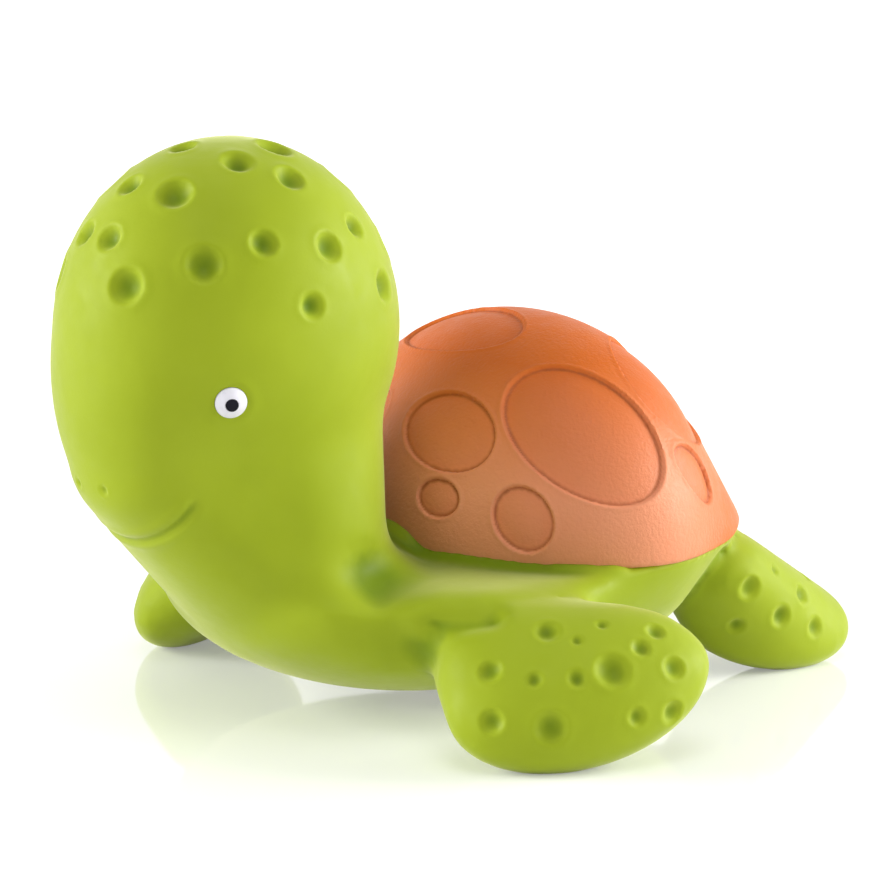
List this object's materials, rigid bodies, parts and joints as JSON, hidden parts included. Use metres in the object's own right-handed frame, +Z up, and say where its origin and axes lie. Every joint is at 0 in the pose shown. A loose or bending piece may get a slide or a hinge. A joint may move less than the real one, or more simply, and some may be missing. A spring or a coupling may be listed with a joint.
{
  "type": "squeaky bath toy",
  "caption": "Hollow soft rubber sea turtle with a domed shell cap, set-in eyes and a reed squeaker in its belly; it stands on flat soles and squeaks when the shell is pressed.",
  "frame": {"origin": "on the floor, under the middle of the toy's length and width", "axes": "+Z up, -Y toward the nose, +X toward the turtle's left side"},
  "size_m": [0.115, 0.1275, 0.0859],
  "materials": {
    "skin_rubber": "satin",
    "shell_rubber": "satin, fine leathery grain",
    "eye_white": "gloss",
    "eye_black": "gloss",
    "squeaker_plastic": "matte",
    "block_plastic": "matte",
    "reed_plastic": "satin"
  },
  "bodies": {
    "toy": {"body_skin": "skin_rubber", "eye_left": "eye_white", "eye_right": "eye_white", "pupil_left": "eye_black", "pupil_right": "eye_black", "squeaker_barrel": "squeaker_plastic", "squeaker_lid": "squeaker_plastic", "reed_block": "block_plastic", "reed_clip": "block_plastic"},
    "shell": {"carapace": "shell_rubber"},
    "reed_tongue": {"reed": "reed_plastic"}
  },
  "joints": [
    {"name": "shell_squeeze", "type": "slide", "parent": "toy", "child": "shell", "axis": [0, 0, -1], "range_m": [0, 0.008], "stiffness_N_per_m": 1500, "deforming": ["body_skin"]},
    {"name": "reed_flutter", "type": "hinge", "parent": "toy", "child": "reed_tongue", "pos_m": [0, -0.00189, 0.0115], "axis": [0, -1, 0], "range_deg": [0, 8], "stiffness_Nm_per_rad": 0.00001}
  ]
}
